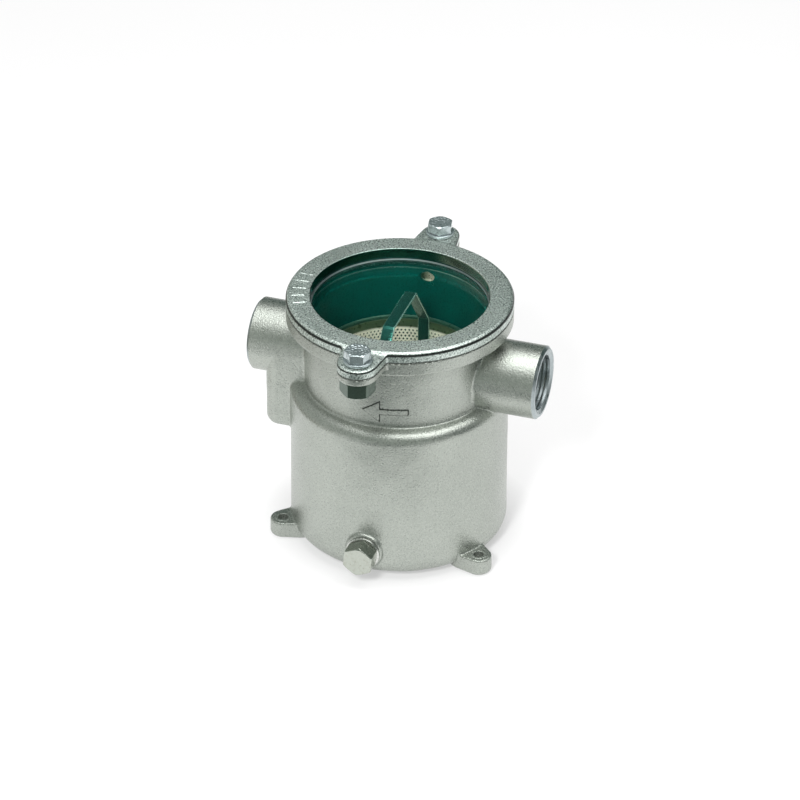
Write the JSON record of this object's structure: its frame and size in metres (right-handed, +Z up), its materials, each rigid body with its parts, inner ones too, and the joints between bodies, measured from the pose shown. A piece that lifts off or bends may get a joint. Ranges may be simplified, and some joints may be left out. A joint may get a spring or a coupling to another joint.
{
  "type": "raw water strainer with glass inspection lid",
  "caption": "Cast metal cooling-water strainer with a round glass inspection lid on two ear bolts, threaded side ports, a lift-out perforated basket, a drain plug and mounting feet.",
  "frame": {"origin": "on the barrel's axis, in the plane of the feet's undersides", "axes": "+Z up along the barrel's axis, +X out of the inlet port, -X out of the outlet port above its duct, -Y to the front, where the drain plug is"},
  "size_m": [0.166, 0.166, 0.1549],
  "materials": {
    "cast_nickel": "nickel-plated sand casting, satin",
    "bright_steel": "bright plated, smooth",
    "sheet_steel": "stainless sheet, perforated",
    "plated_brass": "nickel plated, smooth",
    "green_glass": "clear with a green tint",
    "black_rubber": "matte",
    "soft_metal": "bare soft metal"
  },
  "bodies": {
    "housing": {"body_casting": "cast_nickel", "glass_seal": "black_rubber", "lid_nut_front": "bright_steel", "lid_nut_rear": "bright_steel"},
    "lid": {"lid_ring": "cast_nickel", "glass_disc": "green_glass", "glass_cushion": "black_rubber"},
    "basket": {"basket_rim": "sheet_steel", "basket_screen": "sheet_steel", "basket_base": "sheet_steel", "basket_handle": "sheet_steel", "handle_rivet_front_upper": "sheet_steel", "handle_rivet_front_lower": "sheet_steel", "handle_rivet_rear_upper": "sheet_steel", "handle_rivet_rear_lower": "sheet_steel"},
    "front_washer": {"lid_washer_front": "bright_steel"},
    "front_bolt": {"lid_bolt_front": "bright_steel"},
    "rear_washer": {"lid_washer_rear": "bright_steel"},
    "rear_bolt": {"lid_bolt_rear": "bright_steel"},
    "plug_washer": {"drain_washer": "soft_metal"},
    "plug": {"drain_plug": "plated_brass"}
  },
  "joints": [
    {"name": "lid_lift", "type": "slide", "parent": "housing", "child": "lid", "axis": [0, 0, 1], "range_m": [0, 0.29]},
    {"name": "basket_lift", "type": "slide", "parent": "housing", "child": "basket", "axis": [0, 0, 1], "range_m": [0, 0.145]},
    {"name": "front_bolt_rise", "type": "slide", "parent": "lid", "child": "front_washer", "axis": [0, 0, 1], "range_m": [0, 0.025]},
    {"name": "front_bolt_turn", "type": "hinge", "parent": "front_washer", "child": "front_bolt", "pos_m": [0, -0.072, 0.15], "axis": [0, 0, 1], "range_deg": [0, 7200]},
    {"name": "rear_bolt_rise", "type": "slide", "parent": "lid", "child": "rear_washer", "axis": [0, 0, 1], "range_m": [0, 0.025]},
    {"name": "rear_bolt_turn", "type": "hinge", "parent": "rear_washer", "child": "rear_bolt", "pos_m": [0, 0.072, 0.15], "axis": [0, 0, 1], "range_deg": [0, 7200]},
    {"name": "plug_travel", "type": "slide", "parent": "housing", "child": "plug_washer", "axis": [0, -1, 0], "range_m": [0, 0.016]},
    {"name": "plug_turn", "type": "hinge", "parent": "plug_washer", "child": "plug", "pos_m": [0, -0.07, 0.0184], "axis": [0, -1, 0], "range_deg": [0, 4320]}
  ],
  "couplings": [
    {"joint": "basket_lift", "follows": "lid_lift", "ratio": 0.5},
    {"joint": "front_bolt_turn", "follows": "front_bolt_rise", "rad_per_m": 5026.5},
    {"joint": "rear_bolt_turn", "follows": "rear_bolt_rise", "rad_per_m": 5026.5},
    {"joint": "plug_turn", "follows": "plug_travel", "rad_per_m": 4699.4}
  ]
}
